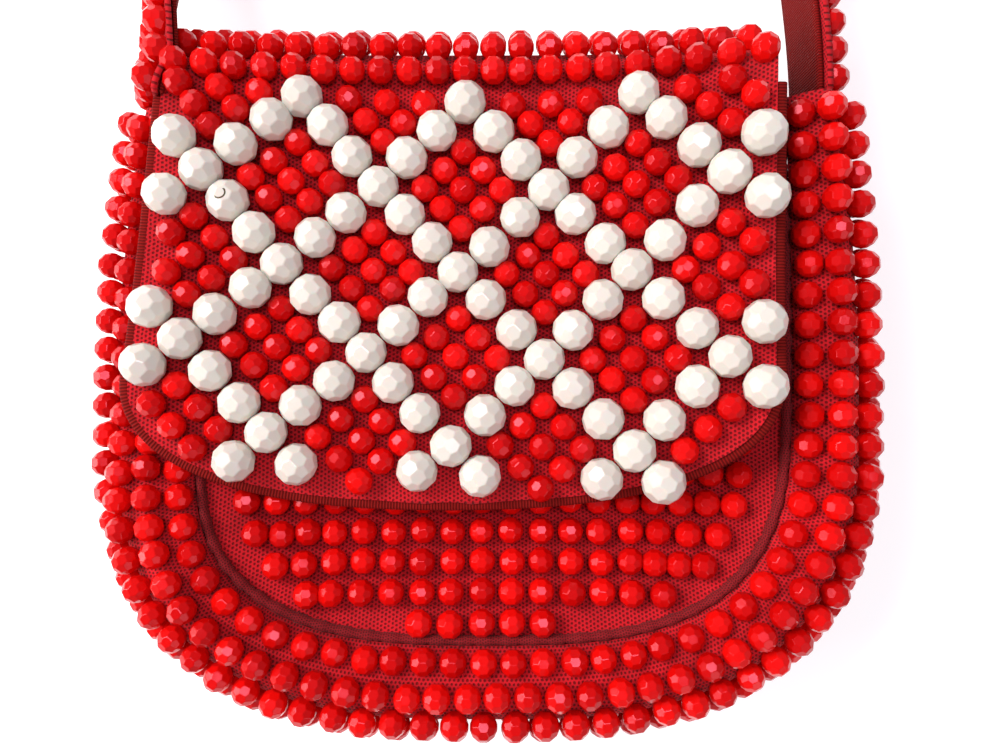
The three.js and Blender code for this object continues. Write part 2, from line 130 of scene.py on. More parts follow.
# Sizes of the bead lattice
LATTICE_STEP = 8.8
LATTICE_RISE = 8.52
LATTICE_TOP_INSET = 8.6
LATTICE_LEAN = -2.2
LATTICE_SPREAD = 1.7
LATTICE_TILT = -2.3
LATTICE_FAN = -1.5
LATTICE_BOW = 3.2
LATTICE_LEFT_DRAW = 4.8
LATTICE_OFFSET = 3.2
LATTICE_COLUMNS = 10
LATTICE_ROWS = 13
LATTICE_X = FLAP_SHIFT + LATTICE_OFFSET
LATTICE_Y = FOLD_Y - LATTICE_TOP_INSET - LATTICE_RISE * LATTICE_ROWS / 2
DIAMOND_PITCH = 8.45
LINE_SPACING = 3
WHITE_RISE = WHITE_BEAD / 2 + 0.3
RED_RISE = BEAD_RADIUS + 0.1
RED_EDGE_ROOM = BEAD_RADIUS * 0.9

# Red beads between the white lines: lattice row, the columns, and the lowest and highest of five levels
DIAMONDS = [
    (0, (-9, -3, 3, 9), (-2, 0)),
    (3, (-6, 0, 6), (-2, 2)),
    (6, (-9, -3, 3, 9), (-2, 2)),
    (9, (-6, 0, 6), (-2, 2)),
    (12, (-3, 3), (-2, 2)),
    (12, (-9, 9), (-2, 2)),
]

# Rows of red beads on the fold: their turns round it as shares of half a turn
FOLD_ROW_TURNS = [0.56, 0.765, 0.962]
FOLD_ROW_BEADS = 21
FOLD_ROW_REACH = 0.96
FOLD_ROW_SEAT = 0.2

# The dark crack on one white bead, given by its column and row in the lattice
CRACKED_BEAD = (-8, 4)
CRACK_OFFSET = (-1.2, 1.2)
CRACK_RADIUS = 1.7
CRACK_REACH = 2.4
CRACK_WIDTH = 0.5
CRACK_COLOUR = (0.10, 0.07, 0.04, 1)

# Sizes of the strap
STRAP_LENGTH = 700.0
STRAP_OUTSET = 10.0
STRAP_HALF_SPAN = SEAM_HALF_WIDTH + STRAP_OUTSET
STRAP_SHIFT = -2.0
STRAP_ROWS = 3
STRAP_ROW_PITCH = 9.0
STRAP_ROOT = 31.0
STRAP_DESCENT = 95.0
LINING_INSET = 2.0
STRAP_EDGE_INSET = 0.3
LINING_GAP = GAP * 0.25

# The left strap leans over near its root, by an angle in degrees
STRAP_LEAN = 34.0
STRAP_LEAN_INSET = 4.0
STRAP_LEAN_START = 14.0
STRAP_ROOT_LEAN = 0.6

# Pitches of the beads along their threads, and the place of the middle column
PANEL_PITCH = 9.2
GUSSET_PITCH = 8.75
STRAP_PITCH = 8.7
MIDDLE_COLUMN = -1.8
BEAD_SEAT = 0.3

# The front's bead rows: even columns in the middle, closer ones up the side walls
FRONT_ROW_PITCH = 9.6
FRONT_LOWEST_ROW = 2.7
FRONT_HIGHEST_ROW = 6
FRONT_TUCK = 0.3
CLOSE_PITCH = 8.1
EXTRA_BEAD_SHARE = 0.35
EDGE_ROOM = 3.0
EVEN_COLUMNS = 5
SEAM_ROOM = 4.7

# The back's cloth and its bead rows
BACK_TIP_ROOM = 0.3
BACK_OVER = 6
BACK_FACE = BACK_TOP + KNIT * 0.7
BACK_LOWEST_ROW = 5.5
BACK_ROWS_OVER = 2
BACK_ROW_ROOM = 4.6
BACK_BEAD_HEIGHT = BEAD_RADIUS + 0.1

# Points along and across each cloth, and how far their rows crowd towards the curved end
NEAR_TIP = 0.999
FRONT_GRID = (90, 81)
FRONT_CROWDING = 1.25
GUSSET_GRID = (240, 26)
BACK_GRID = (70, 50)
BACK_CROWDING = 1.4
BACK_OUTLINE_POINTS = 200
FLAP_TUCK_ROWS = 4
FLAP_FOLD_ROWS = 18
FLAP_GRID = (80, 91)
FLAP_CROWDING = 1.3
STRAP_GRID = (360, 9)
ROW_POINTS = 400
MIDDLE_POINTS = 300
RIDGE_STATIONS = 420
RIDGE_SIDES = 12
FLAP_RIBBON_STATIONS = 320
MOUTH_RIBBON_STATIONS = 160
MOUTH_RIBBON_SIDES = 10

# A bead's rings of facets: latitude in degrees, number, and turn as a share of one facet
BEAD_RINGS = [(0.0, 10, 0.0), (36.0, 10, 0.5), (-36.0, 10, 0.5), (66.0, 6, 0.0), (-66.0, 6, 0.0)]
FACET_BEVEL = 0.035

# A bead's flats lie inside its stated radius and its corners outside, and this splits the difference
BEAD_CORNER_SHARE = 1.02

# How unevenly the beads sit: spreads of roll and tilt in radians, of size, and of place
ROLL_SPREAD = 0.22
TILT_SPREAD = 0.06
SIZE_SPREAD = 0.012
PLACE_SHARES = [1, 1, 0.5]
PANEL_JITTER = 0.18
WHITE_JITTER = 0.3
BACK_JITTER = 0.08
STRAP_JITTER = 0.12

# The rim from the front seam to the back seam, as shares of its reach and its rise
RIM_SECTION = np.array([
    (0.00, 0.75), (0.25, 0.95), (0.58, 1.00), (0.89, 0.89),
    (1.00, 0.66), (0.98, 0.44), (0.86, 0.20), (0.70, 0.00),
])

# Where the shared frame's origin lies, read from a solid whose place is known
seam_low, seam_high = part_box("front_seam")
ORIGIN = np.array([(seam_low[0] + seam_high[0]) / 2 / MM, seam_high[1] / MM - SIDE_LENGTH, 0.0])


def smooth(value):
    value = np.clip(value, 0.0, 1.0)
    return value * value * (3.0 - 2.0 * value)


def unit(vectors):
    return vectors / np.linalg.norm(vectors, axis=-1, keepdims=True)


# Curves through control points, walked by length
def smooth_curve(points, per_span=24):
    """A dense Catmull-Rom line through points, with knots spaced by the square root of distance."""
    points = np.asarray(points, float)
    ends = [2 * points[0] - points[1], 2 * points[-1] - points[-2]]
    padded = np.vstack([ends[0], points, ends[1]])
    dense = []
    for p0, p1, p2, p3 in zip(padded[:-3], padded[1:-2], padded[2:-1], padded[3:]):
        t0 = 0.0
        t1 = t0 + np.linalg.norm(p1 - p0) ** 0.5
        t2 = t1 + np.linalg.norm(p2 - p1) ** 0.5
        t3 = t2 + np.linalg.norm(p3 - p2) ** 0.5
        for t in np.linspace(t1, t2, per_span, endpoint=False):
            a1 = (t1 - t) / (t1 - t0) * p0 + (t - t0) / (t1 - t0) * p1
            a2 = (t2 - t) / (t2 - t1) * p1 + (t - t1) / (t2 - t1) * p2
            a3 = (t3 - t) / (t3 - t2) * p2 + (t - t2) / (t3 - t2) * p3
            b1 = (t2 - t) / (t2 - t0) * a1 + (t - t0) / (t2 - t0) * a2
            b2 = (t3 - t) / (t3 - t1) * a2 + (t - t1) / (t3 - t1) * a3
            dense.append((t2 - t) / (t2 - t1) * b1 + (t - t1) / (t2 - t1) * b2)
    dense.append(points[-1])
    return np.array(dense)


class Line:
    """A dense polyline that gives places and directions by its length."""

    def __init__(self, points):
        self.points = np.asarray(points, float)
        steps = np.linalg.norm(np.diff(self.points, axis=0), axis=1)
        self.marks = np.concatenate([[0.0], np.cumsum(steps)])
        self.length = self.marks[-1]

    def at(self, distance):
        return np.array([np.interp(distance, self.marks, axis) for axis in self.points.T]).T

    def along(self, distance):
        step = self.length * 1e-3
        ahead = self.at(np.minimum(distance + step, self.length))
        behind = self.at(np.maximum(distance - step, 0))
        return unit(ahead - behind)

    def outward(self, distance):
        """The direction away from the bag's middle, for a flat line that runs round it."""
        tangent = self.along(distance)
        return np.array([-tangent[1], tangent[0]])


# Surfaces of the body
def seam_half_width(y):
    taper = MOUTH_TAPER * np.clip(y / SIDE_LENGTH, 0, 1) ** 2
    fall = np.clip(-y / BOTTOM_DEPTH, 0, 1) ** CORNER_POWER
    return (SEAM_HALF_WIDTH - taper) * (1 - fall) ** (1 / CORNER_POWER)


def make_seam_line():
    sides = [SIDE_LENGTH * (1 - index / SIDE_POINTS) for index in range(SIDE_POINTS)]
    points = [(float(seam_half_width(y)), y) for y in sides]
    for index in range(BOTTOM_POINTS):
        angle = math.pi * index / (BOTTOM_POINTS - 1)
        cosine = math.cos(angle)
        x = SEAM_HALF_WIDTH * math.copysign(abs(cosine) ** (2 / CORNER_POWER), cosine)
        points.append((x, -BOTTOM_DEPTH * max(math.sin(angle), 0) ** (2 / CORNER_POWER)))
    points += [(-float(seam_half_width(y)), y) for y in reversed(sides)]
    return Line(smooth_curve(points, per_span=12))


seam_line = make_seam_line()


def press_at(x, y):
    """How far the left side is pressed down, from 0 to 1."""
    return smooth(-x / SEAM_HALF_WIDTH) * smooth(1 + y / PRESS_FADE)


def rim_up(share, x, y):
    return BACK_TOP + (RIM_HEIGHT - BACK_TOP) * share * (1 - LEFT_PRESS * press_at(x, y))


def rim_out(share, x, y):
    squeeze = 1 - MOUTH_SQUEEZE * np.clip(y / SIDE_LENGTH, 0, 1) ** 2
    narrowing = RIGHT_SQUEEZE * smooth(x / SEAM_HALF_WIDTH) * smooth(1 + y / PRESS_FADE)
    return RIM_REACH * share * squeeze * (1 + LEFT_BULGE * press_at(x, y) - narrowing)


def rim_station(distance):
    """Place on the seam, outward direction and the rim's section line there."""
    place = seam_line.at(distance)
    section = np.array([
        (rim_out(out, *place) + GAP + SEAM_RADIUS, rim_up(up, *place)) for out, up in RIM_SECTION
    ])
    return place, seam_line.outward(distance), Line(smooth_curve(section, per_span=8))


def front_radius(x, y):
    across = np.abs(x) / (SEAM_HALF_WIDTH - MOUTH_TAPER * np.clip(y / SIDE_LENGTH, 0, 1) ** 2)
    down = np.clip(-y / BOTTOM_DEPTH, 0, 1)
    return (across ** CORNER_POWER + down ** CORNER_POWER) ** (1 / CORNER_POWER)


def front_height(x, y):
    edge = rim_up(FRONT_EDGE_SHARE, x, y)
    return FRONT_SINK + (edge - FRONT_SINK) * np.clip(front_radius(x, y), 0, 1) ** CORNER_POWER


def flap_half_width(y):
    taper = FLAP_TAPER * np.clip(y / FOLD_Y, 0, 1)
    fall = np.clip((FLAP_BOTTOM + FLAP_CORNER - y) / FLAP_CORNER, 0, 1) ** FLAP_POWER
    return (FLAP_HALF_WIDTH - taper) * (1 - fall) ** (1 / FLAP_POWER)


def flap_centre(y):
    return FLAP_SHIFT + FLAP_SKEW * np.clip(y / FOLD_Y, 0, 1)


def flap_lift(x):
    across = (x - FLAP_SHIFT) / FLAP_HALF_WIDTH
    right = FLAP_RIGHT_LIFT * np.clip(across, 0, None) ** RIGHT_LIFT_POWER
    return right + FLAP_LEFT_LIFT * np.clip(-across, 0, None) ** LEFT_LIFT_POWER


def flap_standoff(x, y):
    middle = 1 - STANDOFF_FALL * np.abs((x - FLAP_SHIFT) / FLAP_HALF_WIDTH)
    return FLAP_STANDOFF * middle * smooth((FLAP_BOTTOM + STANDOFF_LENGTH - y) / STANDOFF_LENGTH)


def flap_top(x, y):
    return FLAP_HEIGHT + flap_lift(x) + flap_standoff(x, y)


def surface_normal(height, x, y, step=0.5):
    slope_x = (height(x + step, y) - height(x - step, y)) / (2 * step)
    slope_y = (height(x, y + step) - height(x, y - step)) / (2 * step)
    return unit(np.stack([-slope_x, -slope_y, np.ones_like(slope_x)], axis=-1))


# Meshes
def make_object(name, vertices, faces, materials, uvs=None, smooth_faces=False):
    mesh = bpy.data.meshes.new(name)
    mesh.from_pydata(((np.asarray(vertices) + ORIGIN) * MM).tolist(), [], faces)
    for material in materials:
        mesh.materials.append(material)
    if uvs is not None:
        layer = mesh.uv_layers.new(name="cloth")
        corner_vertices = np.empty(len(mesh.loops), dtype=np.int64)
        mesh.loops.foreach_get("vertex_index", corner_vertices)
        layer.data.foreach_set("uv", np.asarray(uvs, float)[corner_vertices].ravel())
    mesh.polygons.foreach_set("use_smooth", [smooth_faces] * len(mesh.polygons))
    mesh.update()
    obj = bpy.data.objects.new(name, mesh)
    bpy.context.collection.objects.link(obj)
    return obj


def finish_piece(obj, slot, *nodes):
    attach(obj, "root")
    if nodes:
        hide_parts(*nodes)
    return obj


def bead_shape(bevel):
    """A faceted round bead of radius 1 with its hole along X: flat facets in staggered rings."""
    normals = [(1.0, 0.0, 0.0), (-1.0, 0.0, 0.0)]
    for latitude, count, stagger in BEAD_RINGS:
        rise = math.sin(math.radians(latitude))
        flat = math.cos(math.radians(latitude))
        for index in range(count):
            angle = 2 * math.pi * (index + stagger) / count
            normals.append((rise, flat * math.cos(angle), flat * math.sin(angle)))
    hull = bmesh.new()
    points = [hull.verts.new(normal) for normal in normals]
    bmesh.ops.convex_hull(hull, input=points)
    hull.normal_update()
    hull.faces.index_update()
    bead = bmesh.new()
    corner_at = {}
    corner_of_face = {}
    for face in hull.faces:
        place = face.normal / face.normal.dot(face.verts[0].co)
        key = tuple(round(value, 4) for value in place)
        if key not in corner_at:
            corner_at[key] = bead.verts.new(place)
        corner_of_face[face.index] = corner_at[key]
    for point in points:
        axis = point.co.normalized()
        side = axis.orthogonal().normalized()
        other = axis.cross(side)
        corners = {corner_of_face[face.index] for face in point.link_faces}
        ordered = sorted(corners, key=lambda v: math.atan2(v.co.dot(other), v.co.dot(side)))
        if len(ordered) > 2:
            bead.faces.new(ordered)
    hull.free()
    bmesh.ops.recalc_face_normals(bead, faces=bead.faces)
    if bevel:
        bmesh.ops.bevel(bead, geom=bead.edges[:], offset=bevel, segments=1, affect="EDGES", profile=0.7)
    bmesh.ops.triangulate(bead, faces=bead.faces[:])
    bead.verts.index_update()
    vertices = np.array([tuple(v.co) for v in bead.verts])
    faces = np.array([[v.index for v in face.verts] for face in bead.faces])
    bead.free()
    return vertices / BEAD_CORNER_SHARE, faces


PLAIN_BEAD = bead_shape(0)
FINE_BEAD = bead_shape(FACET_BEVEL)


def bead_field(name, centres, threads, normals, diameter, material,
               shape=PLAIN_BEAD, jitter=PANEL_JITTER):
    """One mesh of many beads, with each bead's hole along its thread and its normal outward."""
    centres = np.asarray(centres, float)
    threads = unit(np.asarray(threads, float))
    normals = np.asarray(normals, float)
    count = len(centres)
    across = unit(np.cross(normals, threads))
    outward = np.cross(threads, across)
    roll = rng.normal(0.0, ROLL_SPREAD, count)
    tilt = rng.normal(0.0, TILT_SPREAD, count)
    centres = centres + rng.normal(0.0, jitter, (count, 3)) * PLACE_SHARES
    size = diameter / 2 * rng.normal(1.0, SIZE_SPREAD, count)
    cosine = np.cos(roll)[:, None]
    sine = np.sin(roll)[:, None]
    second = across * cosine + outward * sine
    third = outward * cosine - across * sine
    first = unit(threads + second * tilt[:, None])
    second = unit(np.cross(third, first))
    third = np.cross(first, second)
    shape_vertices, shape_faces = shape
    axes = np.stack([first, second, third], axis=1) * size[:, None, None]
    vertices = np.einsum("vk,nkc->nvc", shape_vertices, axes) + centres[:, None, :]
    offsets = np.arange(count)[:, None, None] * len(shape_vertices)
    faces = (shape_faces[None] + offsets).reshape(-1, 3)
    obj = make_object(name, vertices.reshape(-1, 3), faces.tolist(), [material])
    tint = np.repeat(rng.uniform(0, 1, count), len(shape_vertices))
    attribute = obj.data.attributes.new("tint", "FLOAT", "POINT")
    attribute.data.foreach_set("value", tint)
    return obj


# Materials
ROUGHNESS_SPREAD = 0.12
MESH_WANDER = 0.55
RIB_SCALE = 0.32


def new_material(name):
    material = bpy.data.materials.new(name)
    material.use_nodes = True
    nodes = material.node_tree.nodes
    return material, nodes, material.node_tree.links, nodes["Principled BSDF"]


def bead_material(name, dark, light, roughness, subsurface, scratch, glint):
    material, nodes, links, shader = new_material(name)
    tint = nodes.new("ShaderNodeAttribute")
    tint.attribute_name = "tint"
    ramp = nodes.new("ShaderNodeValToRGB")
    ramp.color_ramp.elements[0].color = (*dark, 1)
    ramp.color_ramp.elements[1].color = (*light, 1)
    links.new(tint.outputs["Fac"], ramp.inputs["Fac"])
    links.new(ramp.outputs["Color"], shader.inputs["Base Color"])
    coordinates = nodes.new("ShaderNodeTexCoord")
    noise = nodes.new("ShaderNodeTexNoise")
    noise.inputs["Scale"].default_value = 420
    noise.inputs["Detail"].default_value = 4
    links.new(coordinates.outputs["Object"], noise.inputs["Vector"])
    rough = nodes.new("ShaderNodeMapRange")
    rough.inputs["To Min"].default_value = roughness
    rough.inputs["To Max"].default_value = roughness + ROUGHNESS_SPREAD
    links.new(noise.outputs["Fac"], rough.inputs["Value"])
    links.new(rough.outputs["Result"], shader.inputs["Roughness"])
    bump = nodes.new("ShaderNodeBump")
    bump.inputs["Strength"].default_value = scratch
    bump.inputs["Distance"].default_value = 0.0002
    links.new(noise.outputs["Fac"], bump.inputs["Height"])
    links.new(bump.outputs["Normal"], shader.inputs["Normal"])
    shader.inputs["Subsurface Weight"].default_value = subsurface
    shader.inputs["Subsurface Radius"].default_value = (0.004, 0.0012, 0.0008)
    shader.inputs["Subsurface Scale"].default_value = 0.5
    shader.inputs["Specular IOR Level"].default_value = 0.5
    shader.inputs["Specular Tint"].default_value = (*glint, 1)
    shader.inputs["IOR"].default_value = 1.5
    return material


def knit_material(name, thread_colour, hole_shade_colour, cell, depth):
    """An open knitted net: threads round a hexagonal field of holes, on cloth coordinates; the holes are
    painted darker than the threads as painted shade.

    The holes are the peaks of three waves that cross at 60 degrees.
    """
    material, nodes, links, shader = new_material(name)
    coordinates = nodes.new("ShaderNodeTexCoord")
    wander = nodes.new("ShaderNodeTexNoise")
    wander.inputs["Scale"].default_value = 0.5
    wander.inputs["Detail"].default_value = 2
    links.new(coordinates.outputs["UV"], wander.inputs["Vector"])
    shift = nodes.new("ShaderNodeVectorMath")
    shift.operation = "MULTIPLY_ADD"
    shift.inputs[1].default_value = (MESH_WANDER * cell, MESH_WANDER * cell, 0)
    links.new(wander.outputs["Color"], shift.inputs[0])
    links.new(coordinates.outputs["UV"], shift.inputs[2])
    wave_length = cell * math.sqrt(3) / 2
    rate = 2 * math.pi / wave_length
    total = None
    for angle in (0, 60, 120):
        turn = math.radians(angle)
        ray = nodes.new("ShaderNodeVectorMath")
        ray.operation = "DOT_PRODUCT"
        ray.inputs[1].default_value = (rate * math.cos(turn), rate * math.sin(turn), 0)
        links.new(shift.outputs["Vector"], ray.inputs[0])
        wave = nodes.new("ShaderNodeMath")
        wave.operation = "COSINE"
        links.new(ray.outputs["Value"], wave.inputs[0])
        if total is None:
            total = wave
            continue
        added = nodes.new("ShaderNodeMath")
        added.operation = "ADD"
        links.new(total.outputs["Value"], added.inputs[0])
        links.new(wave.outputs["Value"], added.inputs[1])
        total = added
    holes = nodes.new("ShaderNodeMapRange")
    holes.interpolation_type = "SMOOTHSTEP"
    holes.inputs["From Min"].default_value = -0.2
    holes.inputs["From Max"].default_value = 1.9
    links.new(total.outputs["Value"], holes.inputs["Value"])
    noise = nodes.new("ShaderNodeTexNoise")
    noise.inputs["Scale"].default_value = 90
    noise.inputs["Detail"].default_value = 5
    links.new(coordinates.outputs["Object"], noise.inputs["Vector"])
    # Painted shade: the holes get the darker hole colour, for the shade inside the net's openings.
    shade = nodes.new("ShaderNodeMix")
    shade.data_type = "RGBA"
    shade.inputs["A"].default_value = (*thread_colour, 1)
    shade.inputs["B"].default_value = (*hole_shade_colour, 1)
    links.new(holes.outputs["Result"], shade.inputs["Factor"])
    wear = nodes.new("ShaderNodeMapRange")
    wear.inputs["From Min"].default_value = 0.3
    wear.inputs["From Max"].default_value = 0.7
    wear.inputs["To Min"].default_value = 0.72
    wear.inputs["To Max"].default_value = 1.1
    links.new(noise.outputs["Fac"], wear.inputs["Value"])
    worn = nodes.new("ShaderNodeVectorMath")
    worn.operation = "SCALE"
    links.new(shade.outputs["Result"], worn.inputs["Vector"])
    links.new(wear.outputs["Result"], worn.inputs["Scale"])
    links.new(worn.outputs["Vector"], shader.inputs["Base Color"])
    bump = nodes.new("ShaderNodeBump")
    bump.invert = True
    bump.inputs["Strength"].default_value = 0.9
    bump.inputs["Distance"].default_value = depth
    links.new(holes.outputs["Result"], bump.inputs["Height"])
    links.new(bump.outputs["Normal"], shader.inputs["Normal"])
    shader.inputs["Roughness"].default_value = 0.8
    shader.inputs["Sheen Weight"].default_value = 0.05
    shader.inputs["Specular IOR Level"].default_value = 0.15
    shader.inputs["Sheen Roughness"].default_value = 0.5
    return material


def ribbon_material(name, light, dark, rib_pitch):
    """Ribbed ribbon: ribs across its length, fine threads between them."""
    material, nodes, links, shader = new_material(name)
    coordinates = nodes.new("ShaderNodeTexCoord")
    scale = nodes.new("ShaderNodeMapping")
    scale.inputs["Scale"].default_value = (1 / rib_pitch, 1 / rib_pitch, 1)
    links.new(coordinates.outputs["UV"], scale.inputs["Vector"])
    ribs = nodes.new("ShaderNodeTexWave")
    ribs.bands_direction = "X"
    ribs.inputs["Scale"].default_value = RIB_SCALE
    ribs.inputs["Distortion"].default_value = 0.6
    ribs.inputs["Detail"].default_value = 2
    links.new(scale.outputs["Vector"], ribs.inputs["Vector"])
    ramp = nodes.new("ShaderNodeValToRGB")
    ramp.color_ramp.elements[0].color = (*dark, 1)
    ramp.color_ramp.elements[1].color = (*light, 1)
    links.new(ribs.outputs["Fac"], ramp.inputs["Fac"])
    links.new(ramp.outputs["Color"], shader.inputs["Base Color"])
    bump = nodes.new("ShaderNodeBump")
    bump.inputs["Strength"].default_value = 0.8
    bump.inputs["Distance"].default_value = 0.0003
    links.new(ribs.outputs["Fac"], bump.inputs["Height"])
    links.new(bump.outputs["Normal"], shader.inputs["Normal"])
    shader.inputs["Roughness"].default_value = 0.85
    shader.inputs["Specular IOR Level"].default_value = 0.1
    return material


red_plastic = bead_material(
    "red_plastic", dark=(0.50, 0.002, 0.002), light=(0.78, 0.004, 0.003),
    roughness=0.10, subsurface=0.10, scratch=0.12, glint=(1.0, 0.28, 0.36),
)
white_plastic = bead_material(
    "white_plastic", dark=(0.68, 0.62, 0.56), light=(0.76, 0.71, 0.64),
    roughness=0.14, subsurface=0.6, scratch=0.10, glint=(1.0, 1.0, 1.0),
)
red_net = knit_material(
    "red_net", thread_colour=(0.60, 0.008, 0.016), hole_shade_colour=(0.20, 0.001, 0.003), cell=1.3, depth=0.0005,
)
# Painted shade: the seam ridge's knit is coloured much darker than the net, for the shade along the seam
# between the bead rows.
seam_knit = knit_material(
    "seam_knit_painted_shade", thread_colour=(0.26, 0.008, 0.012), hole_shade_colour=(0.11, 0.003, 0.005),
    cell=0.9, depth=0.0004,
)
dark_ribbon = ribbon_material(
    "ribbed_ribbon", light=(0.26, 0.008, 0.006), dark=(0.10, 0.002, 0.002), rib_pitch=0.9,
)


# Sheets from a grid of points
def sheet_object(name, grid, thickness, material, uv_grid):
    """A cloth of that thickness whose upper face is a grid of points of shape (rows, columns, 3)."""
    rows, columns = grid.shape[:2]
    by_row = np.gradient(grid, axis=0)
    by_column = np.gradient(grid, axis=1)
    normals = unit(np.cross(by_column, by_row))
    lower = grid - normals * thickness
    vertices = np.vstack([grid.reshape(-1, 3), lower.reshape(-1, 3)])
    uvs = np.vstack([uv_grid.reshape(-1, 2)] * 2)
    count = rows * columns
    faces = []
    for row in range(rows - 1):
        for column in range(columns - 1):
            a = row * columns + column
            corners = (a, a + 1, a + columns + 1, a + columns)
            faces.append(corners)
            faces.append(tuple(count + corner for corner in reversed(corners)))
    rim = list(range(columns))
    rim += [row * columns + columns - 1 for row in range(1, rows)]
    rim += [(rows - 1) * columns + column for column in range(columns - 2, -1, -1)]
    rim += [row * columns for row in range(rows - 2, 0, -1)]
    for first, second in zip(rim, rim[1:] + rim[:1]):
        faces.append((second, first, count + first, count + second))
    return make_object(name, vertices, faces, [material], uvs, smooth_faces=True)


def arc_coordinates(grid):
    """Cloth coordinates of a grid in millimetres, measured along its rows and columns."""
    across = np.cumsum(np.linalg.norm(np.diff(grid, axis=1, prepend=grid[:, :1]), axis=2), axis=1)
    down = np.cumsum(np.linalg.norm(np.diff(grid, axis=0, prepend=grid[:1]), axis=2), axis=0)
    across -= across[:, across.shape[1] // 2][:, None]
    middle = down[:, down.shape[1] // 2][:, None]
    return np.stack([across, np.broadcast_to(middle, across.shape)], axis=-1)


def edge_crowded(count):
    """Shares from -1 to 1 that lie closer together towards both ends."""
    return np.sin(np.linspace(-1, 1, count) * math.pi / 2)


def front_x(y, column, inset=SEAM_RADIUS + GAP):
    squeezed = np.where(y < 0, y * BOTTOM_DEPTH / (BOTTOM_DEPTH - inset), y)
    return column * (seam_half_width(squeezed) - inset)


def row_places(start, length):
    """Places along a row: an even middle, and closer beads up both side walls to the seam."""
    middle = start + np.arange(-EVEN_COLUMNS, EVEN_COLUMNS + 1) * PANEL_PITCH
    middle = middle[(middle > EDGE_ROOM) & (middle < length - EDGE_ROOM)]
    sides = []
    for first, last in ((middle[0], EDGE_ROOM), (middle[-1], length - EDGE_ROOM)):
        count = int(abs(last - first) / CLOSE_PITCH + EXTRA_BEAD_SHARE)
        sides.append(np.linspace(first, last, count + 1)[1:])
    return np.concatenate([sides[0][::-1], middle, sides[1]])


def make_front_panel():
    rows, across = FRONT_GRID
    bottom = -(BOTTOM_DEPTH - FRONT_TUCK) * NEAR_TIP
    ys = bottom + (SIDE_LENGTH - bottom) * np.linspace(0, 1, rows) ** FRONT_CROWDING
    columns = edge_crowded(across)
    y = np.repeat(ys[:, None], len(columns), axis=1)
    x = front_x(y, columns[None, :], FRONT_TUCK)
    grid = np.stack([x, y, front_height(x, y) + KNIT], axis=-1)
    cloth = sheet_object("front_fabric", grid, CLOTH, red_net, arc_coordinates(grid))
    finish_piece(cloth, "red_knit", "front_panel")

    middle_ys = np.linspace(SIDE_LENGTH - FRONT_HIGHEST_ROW, bottom + FRONT_LOWEST_ROW, MIDDLE_POINTS)
    middle = Line([(y, float(front_height(0.0, y))) for y in middle_ys])
    centres, threads, normals = [], [], []
    ridge = np.array([(*place, rim_up(RIM_SECTION[0, 1], *place)) for place in seam_line.points])
    row_count = int(middle.length / FRONT_ROW_PITCH)
    for row in range(row_count + 1):
        y = float(middle.at(middle.length - row * FRONT_ROW_PITCH)[0])
        edge = float(front_x(np.float64(y), 1.0, FRONT_TUCK))
        xs = np.linspace(-edge, edge, ROW_POINTS)
        line = Line(np.stack([xs, front_height(xs, y)], axis=1))
        start = float(np.interp(MIDDLE_COLUMN, xs, line.marks))
        places = row_places(start, line.length)
        at = line.at(places)
        direction = line.along(places)
        for (x, z), (dx, dz) in zip(at, direction):
            normal = surface_normal(front_height, np.float64(x), np.float64(y))
            centre = np.array([x, y, z + KNIT]) + normal * (BEAD_RADIUS - BEAD_SEAT)
            if np.linalg.norm(ridge - centre, axis=1).min() < SEAM_ROOM:
                continue
            centres.append(centre)
            threads.append((dx, 0.0, dz))
            normals.append(normal)
    beads = bead_field("front_beads", centres, threads, normals, RED_BEAD, red_plastic, FINE_BEAD)
    finish_piece(beads, "red_beads", "front_panel")


def make_gusset():
    rows, across = GUSSET_GRID
    stations = [rim_station(distance) for distance in np.linspace(0, seam_line.length, rows)]
    shares = np.linspace(0, 1, across)
    grid = []
    for place, outward, section in stations:
        distances = shares * section.length
        points = section.at(distances)
        tangents = section.along(distances)
        inward = np.stack([tangents[:, 1], -tangents[:, 0]], axis=1)
        sink = BEAD_RADIUS * np.clip(np.minimum(shares, 1 - shares) * (RIM_ROWS + 1), 0, 1)
        points = points + inward * sink[:, None]
        grid.append([(*(place + outward * out), up) for out, up in points])
    grid = np.array(grid)
    cloth = sheet_object("gusset_fabric", grid, CLOTH, red_net, arc_coordinates(grid))
    finish_piece(cloth, "red_knit", "gusset")

    centres, threads, normals = [], [], []
    for row in range(RIM_ROWS):
        share = FIRST_ROW_SHARE + ROW_SHARE_STEP * row
        places, outwards = [], []
        for place, outward, section in stations:
            out, up = section.at(section.length * share)
            along = section.along(section.length * share)
            places.append((*(place + outward * out), up))
            outwards.append((*(outward * -along[1]), along[0]))
        line = Line(places)
        count = int((line.length - RED_BEAD) / GUSSET_PITCH)
        marks = (line.length - count * GUSSET_PITCH) / 2 + GUSSET_PITCH * np.arange(count + 1)
        centres.extend(line.at(marks))
        threads.extend(line.along(marks))
        axes = np.array(outwards).T
        normals.extend(np.stack([np.interp(marks, line.marks, axis) for axis in axes], axis=1))
    beads = bead_field("gusset_beads", centres, threads, normals, RED_BEAD, red_plastic, FINE_BEAD)
    finish_piece(beads, "red_beads", "gusset")


